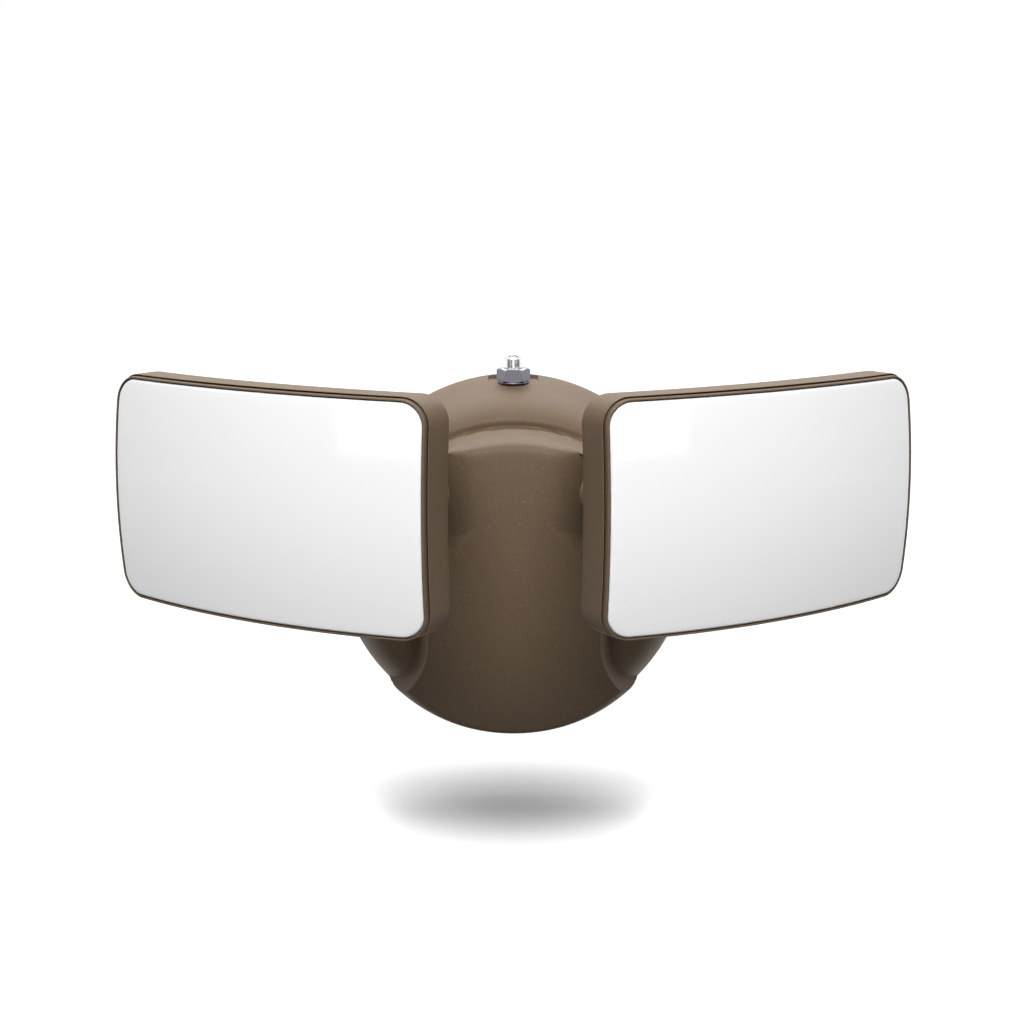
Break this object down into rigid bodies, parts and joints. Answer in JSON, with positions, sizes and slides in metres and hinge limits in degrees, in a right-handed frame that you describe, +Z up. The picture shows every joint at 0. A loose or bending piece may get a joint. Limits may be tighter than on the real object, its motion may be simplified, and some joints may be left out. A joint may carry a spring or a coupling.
{
  "type": "security light",
  "caption": "Wall-mounted LED security light: round sculpted base, dusk sensor on top and two curved opal-lens heads on friction arms that tilt and pan.",
  "frame": {"origin": "centre of the round base, on the wall plane", "axes": "+Z up, +X to the right as seen from the front, +Y into the wall (the light faces -Y)"},
  "size_m": [0.2654, 0.1028, 0.1329],
  "materials": {
    "bronze_coat": "fine textured bronze powder coat, satin with metallic flecks",
    "opal_lens": "opal white acrylic, glossy",
    "bright_nickel": "nickel plated, bright",
    "sensor_clear": "clear, polished",
    "zinc_steel": "zinc plated steel",
    "seal_rubber": "matt black rubber",
    "circuit_green": "green circuit board",
    "driver_mix": "components of the driver",
    "board_white": "white coated aluminium circuit board",
    "led_yellow": "phosphor of unlit LEDs"
  },
  "bodies": {
    "base": {"base_shell": "bronze_coat", "wall_gasket": "seal_rubber", "mounting_plate": "zinc_steel", "back_cover": "zinc_steel", "cover_screws": "zinc_steel", "mounting_screws": "zinc_steel", "cable_grommet": "seal_rubber", "driver_board": "circuit_green", "driver_parts": "driver_mix", "driver_screws": "zinc_steel", "sensor_barrel": "bright_nickel", "sensor_window": "sensor_clear", "sensor_washer": "bright_nickel", "sensor_nut": "bright_nickel"},
    "left_arm": {"left_arm": "bronze_coat", "left_arm_seal": "seal_rubber", "left_arm_washer": "zinc_steel", "left_arm_nut": "zinc_steel"},
    "right_arm": {"right_arm": "bronze_coat", "right_arm_seal": "seal_rubber", "right_arm_washer": "zinc_steel", "right_arm_nut": "zinc_steel"},
    "left_head": {"left_housing": "bronze_coat", "left_bezel": "bronze_coat", "left_lens": "opal_lens", "left_lens_gasket": "seal_rubber", "left_led_board": "board_white", "left_leds": "led_yellow", "left_board_screws": "zinc_steel", "left_pivot_bolt": "zinc_steel", "left_pivot_nut": "zinc_steel"},
    "right_head": {"right_housing": "bronze_coat", "right_bezel": "bronze_coat", "right_lens": "opal_lens", "right_lens_gasket": "seal_rubber", "right_led_board": "board_white", "right_leds": "led_yellow", "right_board_screws": "zinc_steel", "right_pivot_bolt": "zinc_steel", "right_pivot_nut": "zinc_steel"}
  },
  "joints": [
    {"name": "left_arm_tilt", "type": "hinge", "parent": "base", "child": "left_arm", "pos_m": [-0.03, -0.048, 0.029], "axis": [1, 0, 0], "range_deg": [-30, 30]},
    {"name": "right_arm_tilt", "type": "hinge", "parent": "base", "child": "right_arm", "pos_m": [0.03, -0.048, 0.029], "axis": [1, 0, 0], "range_deg": [-30, 30]},
    {"name": "left_head_pan", "type": "hinge", "parent": "left_arm", "child": "left_head", "pos_m": [-0.0568, -0.048, 0.029], "axis": [0, 0, -1], "range_deg": [-12, 20]},
    {"name": "right_head_pan", "type": "hinge", "parent": "right_arm", "child": "right_head", "pos_m": [0.0568, -0.048, 0.029], "axis": [0, 0, 1], "range_deg": [-12, 20]}
  ]
}
